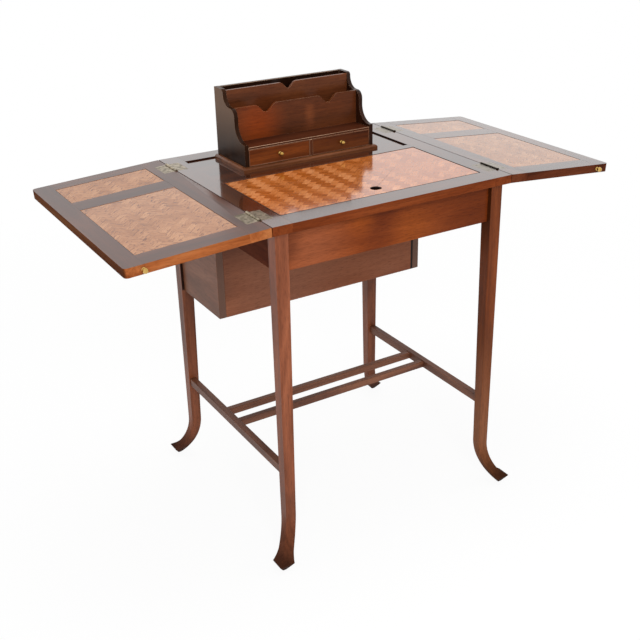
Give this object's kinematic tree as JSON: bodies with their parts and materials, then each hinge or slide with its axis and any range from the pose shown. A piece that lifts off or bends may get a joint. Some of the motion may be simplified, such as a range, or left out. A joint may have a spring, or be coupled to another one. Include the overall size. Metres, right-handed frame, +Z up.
{
  "type": "mechanical writing table",
  "caption": "Slender writing table with folding parquetry leaves; opening them raises a letter rack with drawers from a well behind the lift-out writing panel.",
  "frame": {"origin": "on the floor under the middle of the open table", "axes": "+X along the table's front to the right, +Y to the back, +Z up"},
  "size_m": [1.1178, 0.564, 0.904],
  "materials": {
    "mahogany": "french polish",
    "rack_mahogany": "french polish, darker",
    "parquetry": "polished herringbone veneer",
    "inner_wood": "plain, unpolished",
    "hinge_brass": "aged",
    "screw_brass": "aged",
    "knob_brass": "polished"
  },
  "bodies": {
    "frame": {"apron_front": "mahogany", "aprons_side": "mahogany", "back_board": "mahogany", "compartment_bottom": "inner_wood", "guide_battens": "inner_wood", "hinge_pins": "hinge_brass", "hinge_plates_frame": "hinge_brass", "hinge_screws_frame": "screw_brass", "leg_back_left": "mahogany", "leg_back_right": "mahogany", "leg_front_left": "mahogany", "leg_front_right": "mahogany", "stretchers_long": "mahogany", "stretchers_side": "mahogany", "top_rail_back": "mahogany", "top_rail_cross": "mahogany", "top_rail_front": "mahogany", "top_stile_left": "mahogany", "top_stile_right": "mahogany", "well_bottom": "inner_wood", "well_front": "mahogany", "well_sides": "mahogany"},
    "left_leaf": {"leaf_left_back_rail": "mahogany", "leaf_left_front_rail": "mahogany", "leaf_left_inner_stile": "mahogany", "leaf_left_large_panel": "parquetry", "leaf_left_mid_rail": "mahogany", "leaf_left_outer_stile": "mahogany", "leaf_left_small_panel": "parquetry", "hinge_plates_left_leaf": "hinge_brass", "hinge_screws_left_leaf": "screw_brass"},
    "right_leaf": {"leaf_right_back_rail": "mahogany", "leaf_right_front_rail": "mahogany", "leaf_right_inner_stile": "mahogany", "leaf_right_large_panel": "parquetry", "leaf_right_mid_rail": "mahogany", "leaf_right_outer_stile": "mahogany", "leaf_right_small_panel": "parquetry", "hinge_plates_right_leaf": "hinge_brass", "hinge_screws_right_leaf": "screw_brass"},
    "left_leaf_knob": {"leaf_knob_left": "knob_brass"},
    "right_leaf_knob": {"leaf_knob_right": "knob_brass"},
    "rack": {"rack_back_board": "rack_mahogany", "rack_base_moulding": "rack_mahogany", "rack_case_bottom": "rack_mahogany", "rack_cheeks": "rack_mahogany", "rack_divider_back": "rack_mahogany", "rack_divider_front": "rack_mahogany", "rack_partition": "rack_mahogany", "rack_platform": "rack_mahogany", "rack_shelf": "rack_mahogany", "rack_side_left": "rack_mahogany", "rack_side_right": "rack_mahogany"},
    "left_drawer": {"drawer_front_left": "rack_mahogany", "drawer_box_left": "rack_mahogany", "drawer_knob_left": "knob_brass"},
    "right_drawer": {"drawer_front_right": "rack_mahogany", "drawer_box_right": "rack_mahogany", "drawer_knob_right": "knob_brass"},
    "writing_panel": {"writing_panel": "parquetry"}
  },
  "joints": [
    {"name": "left_leaf_hinge", "type": "hinge", "parent": "frame", "child": "left_leaf", "pos_m": [-0.28, 0, 0.75025], "axis": [0, 1, 0], "range_deg": [0, 183.2]},
    {"name": "right_leaf_hinge", "type": "hinge", "parent": "frame", "child": "right_leaf", "pos_m": [0.28, 0, 0.75025], "axis": [0, -1, 0], "range_deg": [0, 184.7]},
    {"name": "rack_lift", "type": "slide", "parent": "frame", "child": "rack", "axis": [0, 0, 1], "range_m": [-0.157, 0]},
    {"name": "writing_panel_lift", "type": "slide", "parent": "frame", "child": "writing_panel", "axis": [0, 0, -1], "range_m": [-0.065, 0]},
    {"name": "left_drawer_slide", "type": "slide", "parent": "rack", "child": "left_drawer", "axis": [0, 1, 0], "range_m": [-0.085, 0]},
    {"name": "right_drawer_slide", "type": "slide", "parent": "rack", "child": "right_drawer", "axis": [0, 1, 0], "range_m": [-0.085, 0]},
    {"name": "left_leaf_knob_turn", "type": "hinge", "parent": "left_leaf", "child": "left_leaf_knob", "pos_m": [-0.5247, -0.257, 0.7273], "axis": [0, 1, 0], "range_deg": [0, 180]},
    {"name": "right_leaf_knob_turn", "type": "hinge", "parent": "right_leaf", "child": "right_leaf_knob", "pos_m": [0.52402, -0.257, 0.72091], "axis": [0, 1, 0], "range_deg": [0, 180]}
  ],
  "couplings": [
    {"joint": "right_leaf_hinge", "follows": "left_leaf_hinge", "ratio": 1.0082},
    {"joint": "rack_lift", "follows": "left_leaf_hinge", "m_per_rad": -0.0491}
  ]
}
